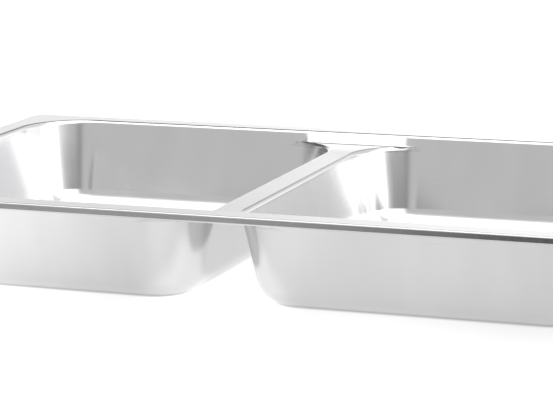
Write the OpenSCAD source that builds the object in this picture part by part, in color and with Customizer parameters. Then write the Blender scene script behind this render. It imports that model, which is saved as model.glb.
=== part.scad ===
// Two-well stainless tray. Millimetres, +Z up, origin on the ground under the middle of the tray.
// X runs along the tray, so the wells lie side by side and the bridge between them runs along Y.
// Each well is a rounded rectangle whose walls slope in at one angle all round, so every sheet
// section is drawn once, as radius from a corner centre against height, and swept round the rectangle.

/* [Tray] */
// Length over the rim
tray_l = 530; // [440:1:600]
// Width over the rim
tray_w = 325; // [280:1:360]
// Height from the ground to the top of the rim
tray_h = 63.5; // [54:0.5:90]
// Thickness of the sheet
sheet_t = 0.8; // [0.6:0.05:0.9]

/* [Rim] */
// Width of the flat rim, from its outer face to where it turns down into the wells
rim_w = 14.6; // [10:0.2:24]
// Radius of the rim's outer corners, seen from above
rim_corner_r = 10; // [6:0.5:16]
// Height of the lip round the outside of the rim
lip_h = 4.9; // [4.2:0.1:8]
// Outside radius where the rim turns down into its lip
lip_r = 1.1; // [1:0.1:1.8]
// Outside radius of the fold at the foot of the lip
hem_r = 1; // [1:0.05:1.3]
// Height of the folded sheet behind the lip
hem_leg = 1.6; // [1:0.1:2]

/* [Wells] */
// Corner radius of the wells, seen from above, where the rim turns down
well_corner_r = 44; // [38:1:60]
// Slope of the walls away from upright, in degrees
draft = 12.7; // [8:0.1:15]
// Outside radius between the walls and the floor
floor_r = 16.8; // [10:0.2:20]
// Outside radius of every edge where the sheet turns down into a well
edge_r = 3.2; // [2.4:0.1:4]

/* [Bridge] */
// Width of the flat bridge between the wells
bridge_w = 15.4; // [13:0.2:26]
// Depth of the bridge under the top of the rim
bridge_drop = 7.5; // [6:0.1:12]
// Length cut off each of the bridge's four thin points
tip_cut = 6; // [5:0.5:9]

/* [Seams] */
// Straight sheet between the foot of the bridge's bend and the seam with the wells
seam_gap = 1.2; // [1.1:0.1:2]
// Radius of the half round weld beads under the bridge
bead_r = 0.8; // [0.5:0.05:0.8]
// How far short of the rim's walls the beads beside the bridge stop
bead_stop = 9; // [6:0.5:20]

/* [Hidden] */
$fn = 96;
bend_steps = 8;   // flats in a small bend
floor_steps = 12; // flats in the bend between wall and floor
lap = 1;          // flat sheet that a swept section shares with the plate it runs into

// From where an edge bend starts to the sharp corner that it replaces
edge_in = edge_r * tan((90 - draft) / 2);
// Corner radius of the inside wall surface, carried up to the top of the rim
wall_r = well_corner_r - edge_in;
// Where the floor bend is centred, from a well's corner centre
bend_rho = wall_r - tray_h * tan(draft) + (sheet_t - floor_r * (1 - sin(draft))) / cos(draft);

bridge_z = tray_h - bridge_drop;
bridge_flat_r = well_corner_r - bridge_drop * tan(draft);
seam_z = bridge_z - edge_r * (1 - sin(draft)) - seam_gap;

// Corner centres of the lip, of the mouth that both wells share, and of the wells at the bridge
lip_cx = tray_l / 2 - rim_corner_r;
lip_cy = tray_w / 2 - rim_corner_r;
mouth_cx = tray_l / 2 - rim_w - well_corner_r;
mouth_cy = tray_w / 2 - rim_w - well_corner_r;
inner_cx = bridge_w / 2 + bridge_flat_r;
// Middle of a well, and its corner centres as measured from there
well_x = (mouth_cx + inner_cx) / 2;
well_cx = (mouth_cx - inner_cx) / 2;

// Half length of the bridge plate at its points, and of its straight ends where they are widest
tip_x = inner_cx - tip_cut;
end_r = wall_at(bridge_z);
end_x = inner_cx - sqrt(pow(end_r, 2) - pow(end_r - edge_in, 2));
notch_x = end_x - 2 * edge_r;
// Half length of the beads beside the bridge
bead_y = mouth_cy + wall_at(seam_z) - bead_stop;

// Radius of the inside wall surface at height z, from a corner centre
function wall_at(z) = wall_r - (tray_h - z) * tan(draft);

function arc(c, r, a0, a1, steps) =
    [for (i = [0:steps]) let (a = a0 + (a1 - a0) * i / steps) c + r * [cos(a), sin(a)]];

function reversed(list) = [for (i = [len(list) - 1:-1:0]) list[i]];

// Each path follows one face of the sheet, off being its depth under the face that shows from above.

function floor_path(off) = concat(
    [[0, sheet_t - off]],
    arc([bend_rho, floor_r], floor_r - sheet_t + off, -90, -draft, floor_steps),
    [[wall_at(seam_z) + off / cos(draft), seam_z]]);

function edge_path(flat_r, top_z, off) = concat(
    [[flat_r + lap, top_z - off]],
    arc([flat_r, top_z - edge_r], edge_r - off, 90, 180 - draft, bend_steps),
    [[wall_at(seam_z) + off / cos(draft), seam_z]]);

function lip_path(off) = concat(
    [[rim_corner_r - lip_r - lap, tray_h - off]],
    arc([rim_corner_r - lip_r, tray_h - lip_r], lip_r - off, 90, 0, bend_steps),
    arc([rim_corner_r - hem_r, tray_h - lip_h + hem_r], hem_r - off, 0, -180, 2 * bend_steps),
    [[rim_corner_r - 2 * hem_r + off, tray_h - lip_h + hem_r + hem_leg]]);

module sheet(upper, lower) polygon(concat(upper, reversed(lower)));

// Half disc on the outside of a well's wall, over the seam
module bead_section() {
    wall_face = [wall_at(seam_z) + sheet_t / cos(draft), seam_z];
    polygon(arc(wall_face, bead_r, -90 - draft, 90 - draft, bend_steps));
}

// Sweeps a section along the straight side facing +X, between corner centres
module along_side(cx, cy)
    translate([cx, cy, 0]) rotate([90, 0, 0]) linear_extrude(2 * cy) children();

// Sweeps a section round a whole rounded rectangle
module around(cx, cy)
    for (turn = [0, 180]) rotate(turn) {
        along_side(cx, cy) children();
        rotate(90) along_side(cy, cx) children();
        translate([cx, cy, 0]) rotate_extrude(angle = 90) children();
        translate([-cx, cy, 0]) rotate(90) rotate_extrude(angle = 90) children();
    }

module rounded(cx, cy, r) {
    square([2 * cx, 2 * (cy + r)], center = true);
    square([2 * (cx + r), 2 * cy], center = true);
    for (x = [-cx, cx], y = [-cy, cy]) translate([x, y]) circle(r);
}

module rim_flat()
    translate([0, 0, tray_h - sheet_t]) linear_extrude(sheet_t) difference() {
        rounded(lip_cx, lip_cy, rim_corner_r - lip_r);
        rounded(mouth_cx, mouth_cy, well_corner_r);
    }

// Opens the frame's wall under each end of the bridge, flush with the underside of the plate
module bridge_notch()
    translate([-notch_x, -tray_w / 2, seam_z - lap])
        cube([2 * notch_x, tray_w, bridge_z - sheet_t - seam_z + lap]);

module rim_frame()
    color("silver") difference() {
        union() {
            rim_flat();
            around(lip_cx, lip_cy) sheet(lip_path(0), lip_path(sheet_t));
            around(mouth_cx, mouth_cy)
                sheet(edge_path(well_corner_r, tray_h, 0), edge_path(well_corner_r, tray_h, sheet_t));
        }
        bridge_notch();
    }

// Space between the frame's front and rear walls, out to the bridge's points
module between_walls() {
    low = seam_z - lap;
    high = bridge_z + lap;
    low_y = mouth_cy + wall_at(low);
    high_y = mouth_cy + wall_at(high);
    rotate([90, 0, 90]) linear_extrude(2 * tip_x, center = true)
        polygon([[-low_y, low], [low_y, low], [high_y, high], [-high_y, high]]);
}

module bridge_flat()
    translate([0, 0, bridge_z - sheet_t]) linear_extrude(sheet_t) difference() {
        square([2 * tip_x, tray_w], center = true);
        for (side = [-1, 1]) translate([side * well_x, 0]) rounded(well_cx, mouth_cy, bridge_flat_r);
    }

module bridge_plate()
    color("silver") intersection() {
        union() {
            bridge_flat();
            for (side = [-1, 1]) translate([side * well_x, 0, 0]) around(well_cx, mouth_cy)
                sheet(edge_path(bridge_flat_r, bridge_z, 0), edge_path(bridge_flat_r, bridge_z, sheet_t));
        }
        between_walls();
    }

module basin(side)
    color("silver") translate([side * well_x, 0, 0]) {
        around(well_cx, mouth_cy) sheet(floor_path(0), floor_path(sheet_t));
        translate([-well_cx, -mouth_cy, 0]) cube([2 * well_cx, 2 * mouth_cy, sheet_t]);
    }

module left_basin() basin(-1);
module right_basin() basin(1);

// Joins the left well's wall to the bridge's turned down edge, from below
module left_bridge_weld()
    color("darkgray") intersection() {
        translate([-well_x, 0, 0]) around(well_cx, mouth_cy) bead_section();
        translate([-inner_cx, -bead_y, seam_z - 2 * bead_r]) cube([inner_cx, 2 * bead_y, 4 * bead_r]);
    }

module right_bridge_weld() mirror([1, 0, 0]) left_bridge_weld();

// Joins the rear end of the bridge to the foot of the frame's wall, from below
module rear_bridge_weld() {
    joint_z = bridge_z - sheet_t;
    joint_y = mouth_cy + wall_at(joint_z);
    color("darkgray") rotate([90, 0, 90]) linear_extrude(2 * (notch_x - bead_r), center = true)
        polygon(arc([joint_y, joint_z], bead_r, -180, 0, bend_steps));
}

module front_bridge_weld() mirror([0, 1, 0]) rear_bridge_weld();

rim_frame();
bridge_plate();
left_basin();
right_basin();
left_bridge_weld();
right_bridge_weld();
front_bridge_weld();
rear_bridge_weld();
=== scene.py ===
import math

import bpy
from mathutils import Matrix, Vector


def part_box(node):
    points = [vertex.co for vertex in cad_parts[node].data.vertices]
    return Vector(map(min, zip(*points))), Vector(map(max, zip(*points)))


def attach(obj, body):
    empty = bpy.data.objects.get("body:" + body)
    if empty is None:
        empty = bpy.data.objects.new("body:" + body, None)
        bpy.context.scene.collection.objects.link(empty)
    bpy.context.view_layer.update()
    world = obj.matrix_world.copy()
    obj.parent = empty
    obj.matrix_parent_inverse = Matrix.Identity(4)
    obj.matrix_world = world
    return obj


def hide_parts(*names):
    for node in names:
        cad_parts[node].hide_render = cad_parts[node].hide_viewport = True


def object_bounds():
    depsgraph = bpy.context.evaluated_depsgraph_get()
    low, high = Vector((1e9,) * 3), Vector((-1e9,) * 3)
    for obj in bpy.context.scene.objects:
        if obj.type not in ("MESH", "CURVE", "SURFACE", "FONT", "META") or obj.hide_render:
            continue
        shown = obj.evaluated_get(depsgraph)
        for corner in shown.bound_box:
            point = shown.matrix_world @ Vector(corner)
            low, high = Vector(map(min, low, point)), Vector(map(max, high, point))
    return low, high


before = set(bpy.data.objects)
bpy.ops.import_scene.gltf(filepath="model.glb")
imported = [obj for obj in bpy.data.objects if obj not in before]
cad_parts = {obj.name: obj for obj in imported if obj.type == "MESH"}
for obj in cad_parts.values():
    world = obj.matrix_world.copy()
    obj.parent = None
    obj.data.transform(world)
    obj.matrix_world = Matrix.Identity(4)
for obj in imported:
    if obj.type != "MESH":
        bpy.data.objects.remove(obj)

bl_info = {
    "name": "Two-well steel tray",
    "version": (1, 0, 0),
    "blender": (4, 5, 0),
    "location": "3D View > Sidebar > Tray",
    "description": "Builds a two-well steel tray over its CAD frame and lights it on a pale table",
    "category": "Object",
}

CAD_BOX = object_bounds()
BODY = "root"
MM = 0.001
POINTS_PER_METRE = 2e6  # corners that round to the same place at this fineness become one
HALVINGS = 24
STEP_ROWS, FILLET_ROWS, FOOT_ROWS = 4, 6, 4


# ---------------------------------------------------------------- sizes and finishes

def length(name, description, default_mm):
    return bpy.props.FloatProperty(
        name=name, description=description, default=default_mm * MM, min=0.0,
        unit="LENGTH", subtype="DISTANCE", precision=5)


def angle(name, description, default_degrees):
    return bpy.props.FloatProperty(
        name=name, description=description, default=math.radians(default_degrees),
        unit="ROTATION", subtype="ANGLE")


def share(name, description, default, top=1.0):
    return bpy.props.FloatProperty(
        name=name, description=description, default=default, min=0.0, max=top,
        subtype="FACTOR", precision=3)


def tint(name, description, default):
    return bpy.props.FloatVectorProperty(
        name=name, description=description, default=default, size=3, min=0.0, max=1.0,
        subtype="COLOR")


class TraySizes(bpy.types.PropertyGroup):
    """Sizes of the pressed sheet that the CAD boxes don't give"""
    sheet: length("Sheet", "Thickness of the sheet", 0.8)
    rim_width: length("Rim width", "Flat rim, from its outer face to the bend into the wells", 14.6)
    rim_corner: length("Rim corner", "Radius of the rim's outer corners", 10.0)
    lip_height: length("Lip height", "Height of the lip round the rim", 4.9)
    lip_radius: length("Lip bend", "Outside radius where the rim turns down into its lip", 1.1)
    hem_radius: length("Hem bend", "Outside radius of the fold at the foot of the lip", 1.0)
    hem_leg: length("Hem leg", "Height of the folded sheet behind the lip", 1.6)
    well_corner: length("Well corner", "Corner radius of the wells at the rim", 44.0)
    draft: angle("Draft", "Slope of the walls away from upright", 12.7)
    floor_radius: length("Floor bend", "Outside radius between walls and floor", 16.8)
    edge_radius: length("Edge bend", "Outside radius where sheet turns down into a well", 3.2)
    bridge_width: length("Bridge width", "Width of the flat bridge between the wells", 15.4)
    bridge_drop: length("Bridge drop", "Depth of the bridge under the top of the rim", 7.5)
    step_slope: angle("Step slope", "Slope away from upright of the step down to the bridge", 35)
    step_fade: length("Step fade", "Length over which the step turns into the well's wall", 14.0)
    step_fillet: length("Step fillet", "Radius at the foot of the step, on the bridge", 2.4)
    skirt_rise: length("Skirt rise", "Length over which the rim's wall rises to the bridge", 10.0)
    bead_radius: length("Bead radius", "Radius of the weld beads under the bridge", 0.8)
    bead_pitch: length("Bead pitch", "Distance from one weld ripple to the next", 1.4)
    bend_steps: bpy.props.IntProperty(
        name="Bend steps", description="Faces round each small bend", default=12, min=2, max=48)
    corner_steps: bpy.props.IntProperty(
        name="Corner steps", description="Faces round each quarter corner", default=32, min=4, max=96)


# ---------------------------------------------------------------- the sheet's geometry

class Plan:
    """Places that follow from the sizes and the CAD box: corner centres, levels and sections."""

    def __init__(self, s):
        high = CAD_BOX[1]
        self.s = s
        self.top = high.z
        self.slope = math.tan(s.draft)
        self.edge_in = s.edge_radius * math.tan((math.pi / 2 - s.draft) / 2)
        self.wall = s.well_corner - self.edge_in
        self.bridge_top = self.top - s.bridge_drop
        self.bridge_flat = s.well_corner - s.bridge_drop * self.slope
        self.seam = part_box("left_basin")[1].z
        self.lip = (high.x - s.rim_corner, high.y - s.rim_corner)
        self.mouth = (high.x - s.rim_width - s.well_corner, high.y - s.rim_width - s.well_corner)
        self.inner_x = s.bridge_width / 2 + self.bridge_flat
        self.well_x = (self.mouth[0] + self.inner_x) / 2
        self.well = ((self.mouth[0] - self.inner_x) / 2, self.mouth[1])
        self.floor_bend = (self.wall - self.top * self.slope
                           + (s.sheet - s.floor_radius * (1 - math.sin(s.draft))) / math.cos(s.draft))
        self.notch_z = self.bridge_top - s.sheet / 2

    def wall_at(self, z):
        """Radius of the inside wall surface at height z, from a corner centre"""
        return self.wall - (self.top - z) * self.slope

    def wall_foot(self, x):
        """Lowest level of the wall under the rim at x: the seam, or higher where the wells part from it"""
        parted = min(max((self.inner_x - abs(x)) / self.s.skirt_rise, 0.0), 1.0)
        return self.seam + (self.notch_z - self.seam) * parted

    def step_inset(self, slope):
        """How far a step of this slope stands in front of the well's wall at the bridge's level"""
        s = self.s
        return (s.edge_radius * math.tan((math.pi / 2 - slope) / 2) + s.bridge_drop * math.tan(slope)
                + self.wall_at(self.bridge_top) - s.well_corner)

    def slope_at(self, x):
        """Slope of the wall under the rim at x: gentle at the bridge, and steepening to the wall's own
        as the well's corner parts from the rim, so that the step's foot stays behind that corner"""
        wall = self.wall_at(self.seam)
        across = max(self.inner_x - abs(x), 0.0)
        room = wall - math.sqrt(max(wall * wall - across * across, 0.0))
        low = self.s.draft
        high = low + (self.s.step_slope - low) * eased(across / self.s.step_fade)
        if room >= self.step_inset(high):
            return high
        for _ in range(HALVINGS):
            middle = (low + high) / 2
            if self.step_inset(middle) > room:
                high = middle
            else:
                low = middle
        return low


def eased(t):
    """0 below 0, 1 above 1, and smooth between"""
    t = min(max(t, 0.0), 1.0)
    return t * t * (3 - 2 * t)


def arc(centre, radius, start, stop, steps, side):
    """Points of a bend with their normals: side 1 faces away from its centre and -1 towards it"""
    points = []
    for i in range(steps + 1):
        a = start + (stop - start) * i / steps
        c, s = math.cos(a), math.sin(a)
        points.append((centre[0] + radius * c, centre[1] + radius * s, side * c, side * s))
    return points


def edge_section(plan, flat, top, depth):
    """From the start of an edge bend down to the seam, on the upper face or the lower one"""
    s, side = plan.s, (1 if depth == 0 else -1)
    bend = arc((flat, top - s.edge_radius), s.edge_radius - depth,
               math.pi / 2, math.pi - s.draft, s.bend_steps, side)
    foot = plan.wall_at(plan.seam) + depth / math.cos(s.draft)
    return bend + [(foot, plan.seam, *bend[-1][2:])]


def floor_section(plan, depth):
    """From a corner centre across the floor and up the wall to the seam"""
    s, side = plan.s, (-1 if depth == 0 else 1)
    radius = s.floor_radius - s.sheet + depth
    bend = arc((plan.floor_bend, s.floor_radius), radius, -math.pi / 2, -s.draft,
               2 * s.bend_steps, side)
    head = plan.wall_at(plan.seam) + depth / math.cos(s.draft)
    return [(0, s.sheet - depth, 0, -side)] + bend + [(head, plan.seam, *bend[-1][2:])]


def lip_section(plan, depth):
    """From the flat rim over the lip and round its hem to the end of the folded leg"""
    s, side = plan.s, (1 if depth == 0 else -1)
    hem_z = plan.top - s.lip_height + s.hem_radius
    bend = arc((s.rim_corner - s.lip_radius, plan.top - s.lip_radius), s.lip_radius - depth,
               math.pi / 2, 0, s.bend_steps, side)
    hem = arc((s.rim_corner - s.hem_radius, hem_z), s.hem_radius - depth,
              0, -math.pi, s.bend_steps, side)
    end = hem[-1]
    return bend + hem + [(end[0], hem_z + s.hem_leg, *end[2:])]


def ring(centres, steps, stops=()):
    """Stations round a rounded rectangle, as corner centre and direction, with stops along X"""
    cx, cy = centres
    stations = []
    for turn, (sx, sy) in enumerate(((1, 1), (-1, 1), (-1, -1), (1, -1))):
        for i in range(steps + 1):
            stations.append((sx * cx, sy * cy, math.pi / 2 * (turn + i / steps)))
        if turn in (0, 2):
            stations += [(sx * -x, sy * cy, math.pi / 2 * (turn + 1)) for x in stops]
    return stations


def column(station, section, shift=0.0):
    """A section stood at one station, as points with normals"""
    x, y, a = station
    c, s = math.cos(a), math.sin(a)
    return [(Vector((shift + x + r * c, y + r * s, z)), Vector((out * c, out * s, up)))
            for r, z, out, up in section]


def flipped(corners, normal):
    """The same points with one other normal, for a cut edge of the sheet"""
    return [(point, Vector(normal)) for point, _ in corners]


class Skin:
    """Gathers the faces of one closed piece of sheet, each corner with its surface's own normal"""

    def __init__(self):
        self.found, self.points, self.faces, self.normals = {}, [], [], []

    def index(self, point):
        key = tuple(round(c * POINTS_PER_METRE) for c in point)
        if key not in self.found:
            self.found[key] = len(self.points)
            self.points.append(point)
        return self.found[key]

    def facing(self, corners):
        """Positive where the corners run so that the face looks the way of its normals"""
        across = (corners[2][0] - corners[0][0]).cross(corners[-1][0] - corners[1][0])
        return across.dot(sum((normal for _, normal in corners), Vector()))

    def face(self, corners, turn_over=None):
        """One face, turned over if it would look against its normals, or as it's told"""
        if turn_over is None:
            turn_over = self.facing(corners) < 0
        ids, normals = [], []
        for point, normal in (reversed(corners) if turn_over else corners):
            i = self.index(point)
            if i not in ids:
                ids.append(i)
                normals.append(normal)
        if len(ids) > 2:
            self.faces.append(ids)
            self.normals.extend(normals)

    def sheet(self, rows, closed=False):
        """Faces between rows of equal length, all looking the way that most of their normals do"""
        pairs = list(zip(rows, rows[1:]))
        if closed:
            pairs.append((rows[-1], rows[0]))
        patches = [[one[j], one[j + 1], two[j + 1], two[j]]
                   for one, two in pairs for j in range(len(one) - 1)]
        turn_over = sum(self.facing(patch) for patch in patches) < 0
        for patch in patches:
            self.face(patch, turn_over)

    def make(self, name):
        mesh = bpy.data.meshes.new(name)
        mesh.from_pydata(self.points, [], self.faces)
        mesh.shade_smooth()
        mesh.normals_split_custom_set([n.normalized() for n in self.normals])
        mesh.update()
        obj = bpy.data.objects.new(name, mesh)
        bpy.context.scene.collection.objects.link(obj)
        return obj


def seat(obj, node, material):
    """Gives a finished piece its material and puts it in the place of its CAD node"""
    obj.data.materials.clear()
    obj.data.materials.append(material)
    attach(obj, BODY)
    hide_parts(node)


def mouth_section(plan, x, depth):
    """From the rim's inner edge down to the seam, with the soft step where the bridge is"""
    s, side = plan.s, (1 if depth == 0 else -1)
    slope = plan.slope_at(x) if depth == 0 else s.draft
    bend = arc((s.well_corner, plan.top - s.edge_radius), s.edge_radius - depth,
               math.pi / 2, math.pi - slope, s.bend_steps, side)
    normal = bend[-1][2:]
    inset = plan.step_inset(slope) if depth == 0 else 0.0
    share_in = inset / plan.step_inset(s.step_slope)
    foot_r = plan.wall_at(plan.bridge_top) - inset + depth / math.cos(s.draft)
    fillet = s.step_fillet * share_in ** 2 * math.tan((math.pi / 2 - slope) / 2)
    low_r = foot_r + fillet * math.sin(slope)
    low_z = plan.bridge_top + fillet * math.cos(slope)
    section = list(bend)
    for i in range(1, STEP_ROWS + 1):
        section.append((bend[-1][0] + (low_r - bend[-1][0]) * i / STEP_ROWS,
                        bend[-1][1] + (low_z - bend[-1][1]) * i / STEP_ROWS, *normal))
    for i in range(1, FILLET_ROWS + 1):
        k = i / FILLET_ROWS
        section.append(((1 - k) ** 2 * low_r + 2 * k * (1 - k) * foot_r + k * k * (foot_r - fillet),
                        (1 - k) ** 2 * low_z + (1 - (1 - k) ** 2) * plan.bridge_top, *normal))
    for i in range(FOOT_ROWS + 1):
        z = plan.notch_z + (plan.wall_foot(x) - plan.notch_z) * i / FOOT_ROWS
        held = (z - plan.seam) / (plan.bridge_top - plan.seam)
        section.append((plan.wall_at(z) + depth / math.cos(s.draft) - inset * held, z, *normal))
    return section


def bent(rows, first, last):
    """Gives rows from first to last the normals of the shape that they make together"""
    fresh = {}
    for i in range(first, last + 1):
        for j in range(1, len(rows[i])):
            along = rows[i + 1][j][0] - rows[i - 1][j][0]
            down = rows[i][min(j + 1, len(rows[i]) - 1)][0] - rows[i][j - 1][0]
            fresh[i, j] = along.cross(down).normalized()
    sign = 1 if fresh[first, 1].dot(rows[first][1][1]) > 0 else -1
    for (i, j), normal in fresh.items():
        rows[i][j] = rows[i][j][0], normal * sign if normal.length > 0.5 else rows[i][j][1]


def make_rim(plan):
    """The flat rim, its lip and hem outside it, and the wall down to the wells and the bridge inside"""
    s = plan.s
    skin = Skin()
    steps = 2 * s.corner_steps
    stops = [plan.inner_x * (2 * i / steps - 1) for i in range(steps + 1)]
    lip_ring = ring(plan.lip, s.corner_steps, stops)
    mouth_ring = ring(plan.mouth, s.corner_steps, stops)

    faces = {}
    for depth in (0, s.sheet):
        lip = lip_section(plan, depth)
        walls = [column(station, mouth_section(plan, station[0], depth)) for station in mouth_ring]
        lips = [column(station, lip) for station in lip_ring]
        for turn in (0, 1):
            first = (s.corner_steps + 1) * (2 * turn + 1) + turn * len(stops)
            bent(walls, first, first + len(stops) - 1)
        skin.sheet(walls, closed=True)
        skin.sheet(lips, closed=True)
        skin.sheet([[a[0], b[0]] for a, b in zip(lips, walls)], closed=True)
        faces[depth] = walls, lips
    (walls, lips), (under_walls, under_lips) = faces[0], faces[s.sheet]
    down, up = (0, 0, -1), (0, 0, 1)
    skin.sheet([flipped([a[-1], b[-1]], down) for a, b in zip(walls, under_walls)], closed=True)
    skin.sheet([flipped([a[-1], b[-1]], up) for a, b in zip(lips, under_lips)], closed=True)
    return skin.make("rim")


def make_basin(plan, side, name):
    """One well below the seam: its walls, the bend into its floor, and the floor"""
    s = plan.s
    skin = Skin()
    stations = ring(plan.well, s.corner_steps)
    shift = side * plan.well_x
    heads = {}
    for depth, up in ((0, 1), (s.sheet, -1)):
        rows = [column(station, floor_section(plan, depth), shift) for station in stations]
        skin.sheet(rows, closed=True)
        middle = [Vector((shift + sx * plan.well[0], sy * plan.well[1], s.sheet - depth))
                  for sx, sy in ((1, 1), (-1, 1), (-1, -1), (1, -1))]
        skin.face([(point, Vector((0, 0, up))) for point in middle])
        heads[depth] = [row[-1] for row in rows]
    skin.sheet([flipped(pair, (0, 0, 1)) for pair in zip(heads[0], heads[s.sheet])], closed=True)
    return skin.make(name)


def leaning(section, normal, amount):
    """A section whose normals lean towards another one"""
    return [(r, z, out + (normal[0] - out) * amount, up + (normal[1] - up) * amount)
            for r, z, out, up in section]


def trimmed(plan, section, turn, depth):
    """The part of a face's edge section that lies within that face of the rim's wall, at this turn
    from the bridge's side"""
    sine = math.sin(turn)
    skirt = depth / math.cos(plan.s.draft)

    def beyond(rib):
        return rib[0] * sine - plan.wall_at(rib[1]) - skirt

    ribs = list(section)
    while len(ribs) > 2 and beyond(ribs[1]) > 0:
        ribs.pop(0)
    first, second = ribs[0], ribs[1]
    if beyond(first) > 0:
        t = min(beyond(first) / (beyond(first) - beyond(second)), 1.0) if beyond(second) < 0 else 1.0
        ribs[0] = tuple(a + (b - a) * t for a, b in zip(first, second))
    return resampled(ribs, len(section))


def resampled(ribs, count):
    """A section with its points spread evenly along it"""
    reach = [0.0]
    for a, b in zip(ribs, ribs[1:]):
        reach.append(reach[-1] + math.hypot(b[0] - a[0], b[1] - a[1]))
    spread = []
    k = 0
    for i in range(count):
        want = reach[-1] * i / (count - 1)
        while k < len(ribs) - 2 and reach[k + 1] < want:
            k += 1
        t = (want - reach[k]) / max(reach[k + 1] - reach[k], 1e-9)
        spread.append(tuple(a + (b - a) * t for a, b in zip(ribs[k], ribs[k + 1])))
    return spread


def make_bridge(plan):
    """The flat bridge, flared at its ends, with its turned down edges that run round to the rim's wall"""
    s = plan.s
    skin = Skin()
    steps = s.corner_steps
    tip = s.sheet
    lean_by = 1 / 1.6  # the share of the tip over which its normals turn to the wall's own
    edges = {}
    for depth, up in ((0, 1), (s.sheet, -1)):
        level = plan.bridge_top - depth
        skirt = depth / math.cos(s.draft)
        wide_turn = math.asin((plan.wall_at(level) + skirt) / plan.bridge_flat)
        turns = [wide_turn * i / steps for i in range(steps + 1)]
        tip_turn = math.acos(tip / (plan.wall_at(plan.seam) + skirt))
        tips = [wide_turn + (tip_turn - wide_turn) * i / steps for i in range(1, steps + 1)]
        section = edge_section(plan, plan.bridge_flat, plan.bridge_top, depth)
        columns = [((0.0, 0.0), section)]
        columns += [((plan.mouth[1], turn), section) for turn in turns]
        for i, turn in enumerate(tips):
            cut = trimmed(plan, section, turn, depth)
            lean = eased((i + 1) / steps / lean_by)
            columns.append(((plan.mouth[1], turn), leaning(cut, section[-1][2:], lean)))
        edges[depth] = columns, level, up, len(turns) + 1
    for sx in (1, -1):
        for sy in (1, -1):
            made = {}
            for depth, (columns, level, up, flats) in edges.items():
                rows = []
                for (cy, turn), section in columns:
                    c, sn = math.cos(turn), math.sin(turn)
                    rows.append([(Vector((sx * (plan.inner_x - r * c), sy * (cy + r * sn), z)),
                                  Vector((-sx * out * c, sy * out * sn, rise)))
                                 for r, z, out, rise in section])
                skin.sheet(rows)
                middles = [(Vector((0, row[0][0].y, level)), Vector((0, 0, up))) for row in rows[:flats]]
                skin.sheet([[m, (row[0][0], m[1])] for m, row in zip(middles, rows)])
                made[depth] = rows, middles
            (rows, middles), (under, under_middles) = made[0], made[s.sheet]
            flats = edges[0][3]
            out = (0, sy * math.cos(s.draft), -math.sin(s.draft))
            end = [middles[-1], rows[flats - 1][0], under[flats - 1][0], under_middles[-1]]
            skin.face(flipped(end, out))
            skin.sheet([flipped([a[0], b[0]], out) for a, b in zip(rows[flats - 1:], under[flats - 1:])])
            skin.sheet([flipped([a[-1], b[-1]], (0, 0, -1)) for a, b in zip(rows, under)])
            skin.sheet([flipped(rows[-1], (sx, 0, 0)), flipped(under[-1], (sx, 0, 0))])
    return skin.make("bridge")


# ---------------------------------------------------------------- weld beads

def side_weld_path(plan, side):
    """Round the outside of a well at the seam, under the bridge"""
    s = plan.s
    reach = plan.wall_at(plan.seam) + s.sheet / math.cos(s.draft)
    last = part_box("left_bridge_weld")[1].y - plan.mouth[1]
    turn = math.asin(last / reach)
    half = []
    for i in range(s.corner_steps + 1):
        a = turn * (1 - i / s.corner_steps)
        half.append((side * (plan.inner_x - reach * math.cos(a)), plan.mouth[1] + reach * math.sin(a),
                     plan.seam))
    return half + [(x, -y, z) for x, y, z in reversed(half)]


def end_weld_path(node):
    """Along one end of the bridge, at its underside"""
    low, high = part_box(node)
    y = (low.y + high.y) / 2
    return [(low.x, y, high.z), (high.x, y, high.z)]


def bead_tree():
    """Nodes that lay overlapping ripples of weld metal along a path"""
    tree = bpy.data.node_groups.new("weld_bead", "GeometryNodeTree")
    face = tree.interface
    face.new_socket("Path", in_out="INPUT", socket_type="NodeSocketGeometry")
    for name in ("Radius", "Pitch"):
        socket = face.new_socket(name, in_out="INPUT", socket_type="NodeSocketFloat")
        socket.subtype = "DISTANCE"
    face.new_socket("Metal", in_out="INPUT", socket_type="NodeSocketMaterial")
    face.new_socket("Bead", in_out="OUTPUT", socket_type="NodeSocketGeometry")
    ripple_sides, ripple_rings, core_share = 14, 8, 0.88
    smallest, largest = (0.93, 0.93, 0.9), (1.0, 1.0, 1.25)
    g = Graph(tree)
    given = tree.nodes.new("NodeGroupInput")
    path, radius, pitch, metal = (Wire(g, socket) for socket in given.outputs[:4])
    curve = g.add("GeometryNodeMeshToCurve", None, {"Mesh": path})
    spots = g.add("GeometryNodeCurveToPoints", {"mode": "LENGTH"}, {"Curve": curve, "Length": pitch})
    turned = Wire(g, spots.socket.node.outputs["Rotation"])
    ripple = g.add("GeometryNodeMeshUVSphere", None,
                   {"Segments": ripple_sides, "Rings": ripple_rings, "Radius": radius})
    size = g.add("FunctionNodeRandomValue", {"data_type": "FLOAT_VECTOR"},
                 {0: smallest, 1: largest, "Seed": 7})
    ripples = g.add("GeometryNodeInstanceOnPoints", None,
                    {"Points": spots, "Instance": ripple, "Rotation": turned, "Scale": size})
    round_bar = g.add("GeometryNodeCurvePrimitiveCircle", None,
                      {"Resolution": ripple_sides, "Radius": radius * core_share})
    core = g.add("GeometryNodeCurveToMesh", None,
                 {"Curve": curve, "Profile Curve": round_bar, "Fill Caps": True})
    joined = g.add("GeometryNodeJoinGeometry", None, {"Geometry": ripples})
    tree.links.new(core.socket, joined.socket.node.inputs["Geometry"])
    solid = g.add("GeometryNodeRealizeInstances", None, {"Geometry": joined})
    shaded = g.add("GeometryNodeSetShadeSmooth", None, {"Geometry": solid})
    done = g.add("GeometryNodeSetMaterial", None, {"Geometry": shaded, "Material": metal})
    g.add("NodeGroupOutput", None, {"Bead": done})
    return tree


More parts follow.
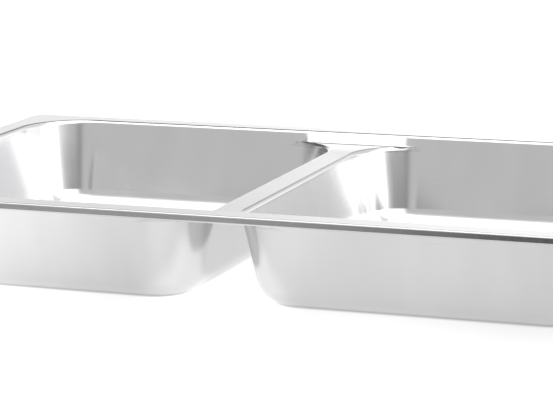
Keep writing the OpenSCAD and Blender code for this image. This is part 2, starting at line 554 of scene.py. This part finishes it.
def lay_bead(name, path, sizes, metal):
    """A finished mesh of weld metal along the path"""
    line = bpy.data.meshes.new(name + "_path")
    line.from_pydata(path, [(i, i + 1) for i in range(len(path) - 1)], [])
    guide = bpy.data.objects.new(name + "_path", line)
    bpy.context.scene.collection.objects.link(guide)
    tree = bpy.data.node_groups.get("weld_bead") or bead_tree()
    within = 0.97  # keeps the ripples inside the box of the CAD bead
    values = {"Radius": sizes.bead_radius * within, "Pitch": sizes.bead_pitch, "Metal": metal}
    modifier = guide.modifiers.new("bead", "NODES")
    modifier.node_group = tree
    for socket in tree.interface.items_tree:
        if socket.in_out == "INPUT" and socket.name in values:
            modifier[socket.identifier] = values[socket.name]
    bpy.context.view_layer.update()
    evaluated = guide.evaluated_get(bpy.context.evaluated_depsgraph_get())
    mesh = bpy.data.meshes.new_from_object(evaluated)
    mesh.name = name
    bpy.data.objects.remove(guide)
    bpy.data.meshes.remove(line)
    bead = bpy.data.objects.new(name, mesh)
    bpy.context.scene.collection.objects.link(bead)
    return bead


# ---------------------------------------------------------------- shader arithmetic

class Wire:
    """One value in a node tree. Sums and products of wires add the Math nodes that work them out."""

    def __init__(self, graph, socket):
        self.graph, self.socket = graph, socket

    def math(self, operation, *others):
        return self.graph.add("ShaderNodeMath", {"operation": operation}, [self, *others])

    def __add__(self, other):
        return self.math("ADD", other)

    def __sub__(self, other):
        return self.math("SUBTRACT", other)

    def __mul__(self, other):
        return self.math("MULTIPLY", other)

    def __truediv__(self, other):
        return self.math("DIVIDE", other)

    def __pow__(self, other):
        return self.math("POWER", other)

    def __rsub__(self, other):
        return self.graph.add("ShaderNodeMath", {"operation": "SUBTRACT"}, [other, self])

    __radd__ = __add__
    __rmul__ = __mul__

    def smooth(self, low, high):
        """0 below low, 1 above high, eased between"""
        return self.graph.add("ShaderNodeMapRange", {"interpolation_type": "SMOOTHSTEP"},
                              {"Value": self, "From Min": low, "From Max": high})


class Graph:
    """A node tree that is written as expressions"""

    def __init__(self, tree):
        self.tree = tree
        tree.nodes.clear()

    def add(self, kind, settings=None, inputs=None, output=0):
        node = self.tree.nodes.new(kind)
        for name, value in (settings or {}).items():
            setattr(node, name, value)
        pairs = inputs.items() if isinstance(inputs, dict) else enumerate(inputs or [])
        for name, value in pairs:
            if isinstance(value, Wire):
                self.tree.links.new(value.socket, node.inputs[name])
            else:
                node.inputs[name].default_value = value
        return Wire(self, node.outputs[output]) if len(node.outputs) else None

    def parts(self, vector):
        node = self.tree.nodes.new("ShaderNodeSeparateXYZ")
        self.tree.links.new(vector.socket, node.inputs[0])
        return [Wire(self, socket) for socket in node.outputs]

    def joined(self, x, y, z):
        return self.add("ShaderNodeCombineXYZ", None, [x, y, z])


def mixed(one, two, share_of_two):
    """Blends two amounts, where a plain number may stand for either"""
    return share_of_two * two + (1 - share_of_two) * one


# ---------------------------------------------------------------- steel and weld metal

class SteelFinish(bpy.types.PropertyGroup):
    """Colour and polish of the steel"""
    colour: tint("Colour", "Reflectance of the bare steel", (0.6, 0.6, 0.605))
    roughness: share("Roughness", "Roughness of the satin sheet", 0.18)
    weld_colour: tint("Weld colour", "Reflectance of the weld beads", (0.5, 0.49, 0.47))
    weld_roughness: share("Weld roughness", "Roughness of the weld beads", 0.38)


def grain_of(g, place):
    """Fine rolled grain: along the tray on its flats and long walls, and up and down its end walls"""
    fine_across, fine_along = 2600, 22  # changes per metre
    mark_across, mark_along = 900, 9
    x, y, z = g.parts(place)
    _, facing_y, _ = g.parts(g.add("ShaderNodeNewGeometry", output=1))
    long_wall = facing_y.math("ABSOLUTE").smooth(0.45, 0.75)
    across = mixed(y, z, long_wall)
    along = mixed(x + z, x, long_wall)
    lines = g.joined(across * fine_across, along * fine_along, 0.0)
    fine = g.add("ShaderNodeTexNoise", None, {"Vector": lines, "Scale": 1.0, "Detail": 2.0})
    marks = g.joined(across * mark_across, along * mark_along, 3.0)
    scratch = g.add("ShaderNodeTexNoise", None, {"Vector": marks, "Scale": 1.0, "Detail": 1.0})
    return fine, scratch.smooth(0.68, 0.80)


def steel_material(finish, name="satin steel", brightness=1.0):
    """Satin stainless sheet: rolled grain, faint scratches, soft waves and streaks from the press"""
    material = bpy.data.materials.new(name)
    material.use_nodes = True
    g = Graph(material.node_tree)
    place = g.add("ShaderNodeTexCoord", output=3)
    x, y, z = g.parts(place)
    grain, scratch = grain_of(g, place)
    cloud = g.add("ShaderNodeTexNoise", None, {"Vector": place, "Scale": 14.0, "Detail": 3.0})
    streaks_across, streaks_down = 48, 3  # changes per metre
    stretch = g.joined(x * streaks_across, y * streaks_across, z * streaks_down)
    streak = g.add("ShaderNodeTexNoise", None, {"Vector": stretch, "Scale": 1.0, "Detail": 2.0})
    upright = 1 - g.parts(g.add("ShaderNodeNewGeometry", output=1))[2].math("ABSOLUTE").smooth(0.5, 0.9)

    grain_tone, streak_tone, cloud_tone, scratch_tone = 0.05, 0.10, 0.05, 0.03
    tone = 1.0 + (grain - 0.5) * grain_tone + (streak - 0.5) * upright * streak_tone
    tone = tone + (cloud - 0.5) * cloud_tone - scratch * scratch_tone
    darkest, lightest = 0.8, 1.2
    # a brightness below 1 darkens the colour: painted shade, as on the bridge
    low = [c * brightness * darkest for c in finish.colour]
    high = [c * brightness * lightest for c in finish.colour]
    colour = g.add("ShaderNodeMix", {"data_type": "RGBA"},
                   {0: (tone - darkest) * (1 / (lightest - darkest)), 6: (*low, 1), 7: (*high, 1)},
                   output=2)
    grain_rough, cloud_rough, scratch_rough, streak_rough = 0.05, 0.06, 0.05, 0.05
    rough = (finish.roughness + (grain - 0.5) * grain_rough + (cloud - 0.5) * cloud_rough
             + scratch * scratch_rough + (streak - 0.5) * upright * streak_rough)
    waves = g.add("ShaderNodeTexNoise", None, {"Vector": place, "Scale": 24.0, "Detail": 1.0})
    swell = g.add("ShaderNodeBump", None, {"Strength": 0.25, "Distance": 0.0003, "Height": waves})
    bump = g.add("ShaderNodeBump", None, {
        "Strength": 0.10, "Distance": 0.00002, "Height": grain - scratch * 0.5, "Normal": swell})
    shader = g.add("ShaderNodeBsdfPrincipled", None, {
        "Base Color": colour, "Metallic": 1.0, "Roughness": rough, "Normal": bump})
    g.add("ShaderNodeOutputMaterial", None, [shader])
    return material


def shaded_bridge_material(finish):
    """The same sheet with its colour darkened: painted shade on the bridge"""
    # 0.92 darkens the bridge's colour: painted shade
    return steel_material(finish, "bridge steel with painted shade", 0.92)


def weld_material(finish):
    """Weld metal: duller than the sheet, with a faint straw tint in places"""
    material = bpy.data.materials.new("weld")
    material.use_nodes = True
    g = Graph(material.node_tree)
    place = g.add("ShaderNodeTexCoord", output=3)
    patch = g.add("ShaderNodeTexNoise", None, {"Vector": place, "Scale": 420.0, "Detail": 3.0})
    speck = g.add("ShaderNodeTexNoise", None, {"Vector": place, "Scale": 2600.0, "Detail": 2.0})
    plain = tuple(finish.weld_colour)
    straw = (plain[0] * 0.98, plain[1] * 0.86, plain[2] * 0.66)
    colour = g.add("ShaderNodeMix", {"data_type": "RGBA"},
                   {0: patch.smooth(0.45, 0.75) * 0.6, 6: (*plain, 1), 7: (*straw, 1)}, output=2)
    rough = finish.weld_roughness + (speck - 0.5) * 0.2
    bump = g.add("ShaderNodeBump", None, {"Strength": 0.3, "Distance": 0.00004, "Height": speck})
    shader = g.add("ShaderNodeBsdfPrincipled", None, {
        "Base Color": colour, "Metallic": 1.0, "Roughness": rough, "Normal": bump})
    g.add("ShaderNodeOutputMaterial", None, [shader])
    return material


def shared_material(name, maker):
    return bpy.data.materials.get(name) or maker(bpy.context.scene.tray_finish)


class TRAY_OT_rim(bpy.types.Operator):
    """Makes the flat rim with its lip, hem and the wall inside it"""
    bl_idname = "tray.rim"
    bl_label = "Rim"

    def execute(self, context):
        plan = Plan(context.scene.tray_sizes)
        seat(make_rim(plan), "rim_frame", shared_material("satin steel", steel_material))
        return {"FINISHED"}


class TRAY_OT_basins(bpy.types.Operator):
    """Makes the two wells"""
    bl_idname = "tray.basins"
    bl_label = "Basins"

    def execute(self, context):
        plan = Plan(context.scene.tray_sizes)
        for side, name in ((-1, "left"), (1, "right")):
            seat(make_basin(plan, side, name + "_well"), name + "_basin",
                 shared_material("satin steel", steel_material))
        return {"FINISHED"}


class TRAY_OT_bridge(bpy.types.Operator):
    """Makes the bridge between the wells"""
    bl_idname = "tray.bridge"
    bl_label = "Bridge"

    def execute(self, context):
        plan = Plan(context.scene.tray_sizes)
        # the bridge gets a darker copy of the steel: painted shade
        seat(make_bridge(plan), "bridge_plate",
             shared_material("bridge steel with painted shade", shaded_bridge_material))
        return {"FINISHED"}


class TRAY_OT_welds(bpy.types.Operator):
    """Makes the weld beads under the bridge"""
    bl_idname = "tray.welds"
    bl_label = "Welds"

    def execute(self, context):
        sizes = context.scene.tray_sizes
        plan = Plan(sizes)
        metal = shared_material("weld", weld_material)
        paths = {"left_bridge_weld": side_weld_path(plan, -1), "right_bridge_weld": side_weld_path(plan, 1)}
        for node in ("front_bridge_weld", "rear_bridge_weld"):
            paths[node] = end_weld_path(node)
        for node, path in paths.items():
            seat(lay_bead(node.replace("bridge_weld", "bead"), path, sizes, metal), node, metal)
        return {"FINISHED"}


# ---------------------------------------------------------------- camera, table and light

class StageSettings(bpy.types.PropertyGroup):
    """Camera, table and light"""
    eye: bpy.props.FloatVectorProperty(
        name="Camera", description="Place of the camera", default=(0.526, -1.436, 0.3445),
        size=3, subtype="TRANSLATION", unit="LENGTH")
    turn: angle("Camera turn", "Turn of the view to the left", 20.413)
    tilt: angle("Camera tilt", "Tilt of the view below level", 11.382)
    roll: angle("Camera roll", "Roll of the view", -0.684)
    lens: bpy.props.FloatProperty(
        name="Lens", description="Focal length in millimetres on a 36 mm sensor", default=151.2)
    table_half: length("Table", "Half the side of the square table", 6000)
    table_white: share("Table white", "Reflectance of the table", 0.18)
    table_glow: share("Table glow", "Light that the table gives off itself", 0.88)
    shade_near: length("Shade start", "Distance of the front shade from the tray's middle", 290)
    shade_far: length("Shade end", "Distance of the front shade's far edge", 1400)
    key_light: share("Key light", "Brightness of the big soft light on the right", 3.6, 5.0)
    top_light: share("Top light", "Brightness of the soft light overhead", 2.7, 5.0)


class TRAY_OT_stage(bpy.types.Operator):
    """Makes the table, the studio light and the camera"""
    bl_idname = "tray.stage"
    bl_label = "Stage"

    def execute(self, context):
        settings = context.scene.tray_stage
        make_camera(settings)
        make_table(settings)
        make_front_shade(settings)
        make_studio(settings)
        context.scene.view_settings.view_transform = "Standard"
        return {"FINISHED"}


def make_camera(settings):
    turn, tilt, roll = settings.turn, settings.tilt, settings.roll
    ahead = Vector((-math.sin(turn) * math.cos(tilt), math.cos(turn) * math.cos(tilt), -math.sin(tilt)))
    right = Vector((math.cos(turn), math.sin(turn), 0))
    up = right.cross(ahead)
    across = right * math.cos(roll) + up * math.sin(roll)
    above = up * math.cos(roll) - right * math.sin(roll)
    data = bpy.data.cameras.new("camera")
    data.sensor_width = 36
    data.lens = settings.lens
    camera = bpy.data.objects.new("camera", data)
    bpy.context.scene.collection.objects.link(camera)
    facing = Matrix((across, above, -ahead)).transposed().to_4x4()
    camera.matrix_world = Matrix.Translation(settings.eye) @ facing
    bpy.context.scene.camera = camera


def sheet_of(name, corners, material):
    """A flat stage piece with the given corners"""
    mesh = bpy.data.meshes.new(name)
    mesh.from_pydata(corners, [], [tuple(range(len(corners)))])
    mesh.materials.append(material)
    obj = bpy.data.objects.new(name, mesh)
    bpy.context.scene.collection.objects.link(obj)
    return obj


def make_table(settings):
    """A pale table that glows, so that what stands on it casts hardly a shadow. Its glow falls off to
    the right, is stronger between the wells' front ends, and is weak right under the wells."""
    left_glow, middle_loss, right_loss = 1.46, 0.50, 0.10
    gap_glow, gap_front_glow, under_loss = 0.12, 0.34, 0.65
    contact_width = 0.009
    half = settings.table_half
    material = bpy.data.materials.new("table top")
    material.use_nodes = True
    g = Graph(material.node_tree)
    across, back, _ = g.parts(g.add("ShaderNodeTexCoord", output=3))
    glow = left_glow - across.smooth(-0.22, -0.07) * middle_loss - across.smooth(0.10, 0.22) * right_loss
    outside = across.math("ABSOLUTE").smooth(0.02, 0.06)
    front = back.smooth(-0.165, -0.135) * (1 - back.smooth(-0.10, -0.06))
    glow = glow + (1 - outside) * (gap_glow + front * gap_front_glow)
    plan = Plan(bpy.context.scene.tray_sizes)
    beside = ((across.math("ABSOLUTE") - plan.well_x).math("ABSOLUTE") - plan.well[0]).math("MAXIMUM", 0.0)
    before = (back.math("ABSOLUTE") - plan.well[1]).math("MAXIMUM", 0.0)
    away = (beside * beside + before * before) ** 0.5 - plan.floor_bend
    under = 1 - away.smooth(0.0, contact_width)
    glow = settings.table_glow * glow * (1 - under * under_loss)
    shader = g.add("ShaderNodeBsdfDiffuse", None, {"Color": (*[settings.table_white] * 3, 1)})
    lit = g.add("ShaderNodeEmission", None, {"Color": (1, 1, 1, 1), "Strength": glow})
    shader = g.add("ShaderNodeAddShader", None, [shader, lit])
    g.add("ShaderNodeOutputMaterial", None, [shader])
    corners = [(-half, -half, 0), (half, -half, 0), (half, half, 0), (-half, half, 0)]
    sheet_of("table", corners, material)


def make_front_shade(settings):
    """A dim strip on the table in front, darker to the right, that only reflections see"""
    left_strength, right_loss = 0.46, 0.36
    half, lift = 2, 0.002
    material = bpy.data.materials.new("front shade")
    material.use_nodes = True
    g = Graph(material.node_tree)
    across = g.parts(g.add("ShaderNodeTexCoord", output=3))[0]
    strength = left_strength - across.smooth(-0.1, 0.18) * right_loss
    shader = g.add("ShaderNodeEmission", None, {"Color": (1, 1, 1, 1), "Strength": strength})
    g.add("ShaderNodeOutputMaterial", None, [shader])
    near, far = -settings.shade_far, -settings.shade_near
    corners = [(-half, near, lift), (half, near, lift), (half, far, lift), (-half, far, lift)]
    shade = sheet_of("front_shade", corners, material)
    shade.visible_camera = False
    shade.visible_diffuse = False
    shade.visible_shadow = False


def make_studio(settings):
    """Soft light from all round, as a brightness for each direction. The viewer is towards -Y."""
    far_left, left_and_front, spot_depth = 0.42, 0.80, 0.54
    spot = (0.507, -0.838, 0.208)
    key_edge, side_gain, low_share = 1.9, 1.35, 0.45
    back, back_right, back_low, band = 0.97, 0.40, 0.35, 0.16
    world = bpy.data.worlds.new("studio")
    bpy.context.scene.world = world
    world.use_nodes = True
    g = Graph(world.node_tree)
    x, y, z = g.parts(g.add("ShaderNodeTexCoord"))
    flat = (x * x + y * y) ** 0.5 + 0.001
    right = x / flat
    front = 0 - y / flat
    facing = front.smooth(-0.25, 0.25)

    # the viewer's half: dim walls with a darker spot, the big light on the right and one overhead
    walls = mixed(far_left, left_and_front, right.smooth(-0.98, -0.72))
    walls = walls - (x * spot[0] + y * spot[1] + z * spot[2]).smooth(0.88, 0.98) * spot_depth
    key = right.smooth(0.15, 0.40) * z.smooth(0.28, 0.33)
    walls = mixed(walls, key_edge + right.smooth(0.5, 0.85) * (settings.key_light - key_edge), key)
    walls = mixed(walls, settings.key_light * side_gain, right.smooth(0.86, 0.97))
    walls = mixed(walls, settings.top_light, z.smooth(0.66, 0.86))
    walls = walls * (low_share + z.smooth(0.02, 0.17) * (1 - low_share))

    # the far half: a bright backdrop, a dark band above it, and the light overhead
    dark = z.smooth(0.24, 0.40) * (1 - right.smooth(-0.30, 0.20) * 0.8)
    backdrop = back + right.smooth(-0.42, -0.25) * back_right + (1 - z.smooth(0.15, 0.20)) * back_low
    backdrop = mixed(backdrop, band, dark)
    backdrop = mixed(backdrop, settings.top_light, z.smooth(0.84, 0.93))
    light = mixed(backdrop, walls, facing)
    shader = g.add("ShaderNodeBackground", None, {"Color": (1, 1, 1, 1), "Strength": light})
    g.add("ShaderNodeOutputWorld", None, [shader])


class TRAY_PT_panel(bpy.types.Panel):
    """Lists the tray's pieces and its stage"""
    bl_label = "Tray"
    bl_idname = "TRAY_PT_panel"
    bl_space_type = "VIEW_3D"
    bl_region_type = "UI"
    bl_category = "Tray"

    def draw(self, context):
        for operator in PIECES + (TRAY_OT_stage,):
            self.layout.operator(operator.bl_idname)
        for group in (context.scene.tray_sizes, context.scene.tray_finish, context.scene.tray_stage):
            for name in group.__annotations__:
                self.layout.prop(group, name)


PIECES = (TRAY_OT_rim, TRAY_OT_basins, TRAY_OT_bridge, TRAY_OT_welds)
GROUPS = {"tray_sizes": TraySizes, "tray_finish": SteelFinish, "tray_stage": StageSettings}
CLASSES = (*GROUPS.values(), *PIECES, TRAY_OT_stage, TRAY_PT_panel)


def register():
    for cls in CLASSES:
        bpy.utils.register_class(cls)
    for name, group in GROUPS.items():
        setattr(bpy.types.Scene, name, bpy.props.PointerProperty(type=group))


def unregister():
    for name in GROUPS:
        delattr(bpy.types.Scene, name)
    for cls in reversed(CLASSES):
        bpy.utils.unregister_class(cls)


def main():
    register()
    bpy.ops.tray.rim()
    bpy.ops.tray.basins()
    bpy.ops.tray.bridge()
    bpy.ops.tray.welds()
    bpy.ops.tray.stage()


if __name__ == "__main__":
    main()
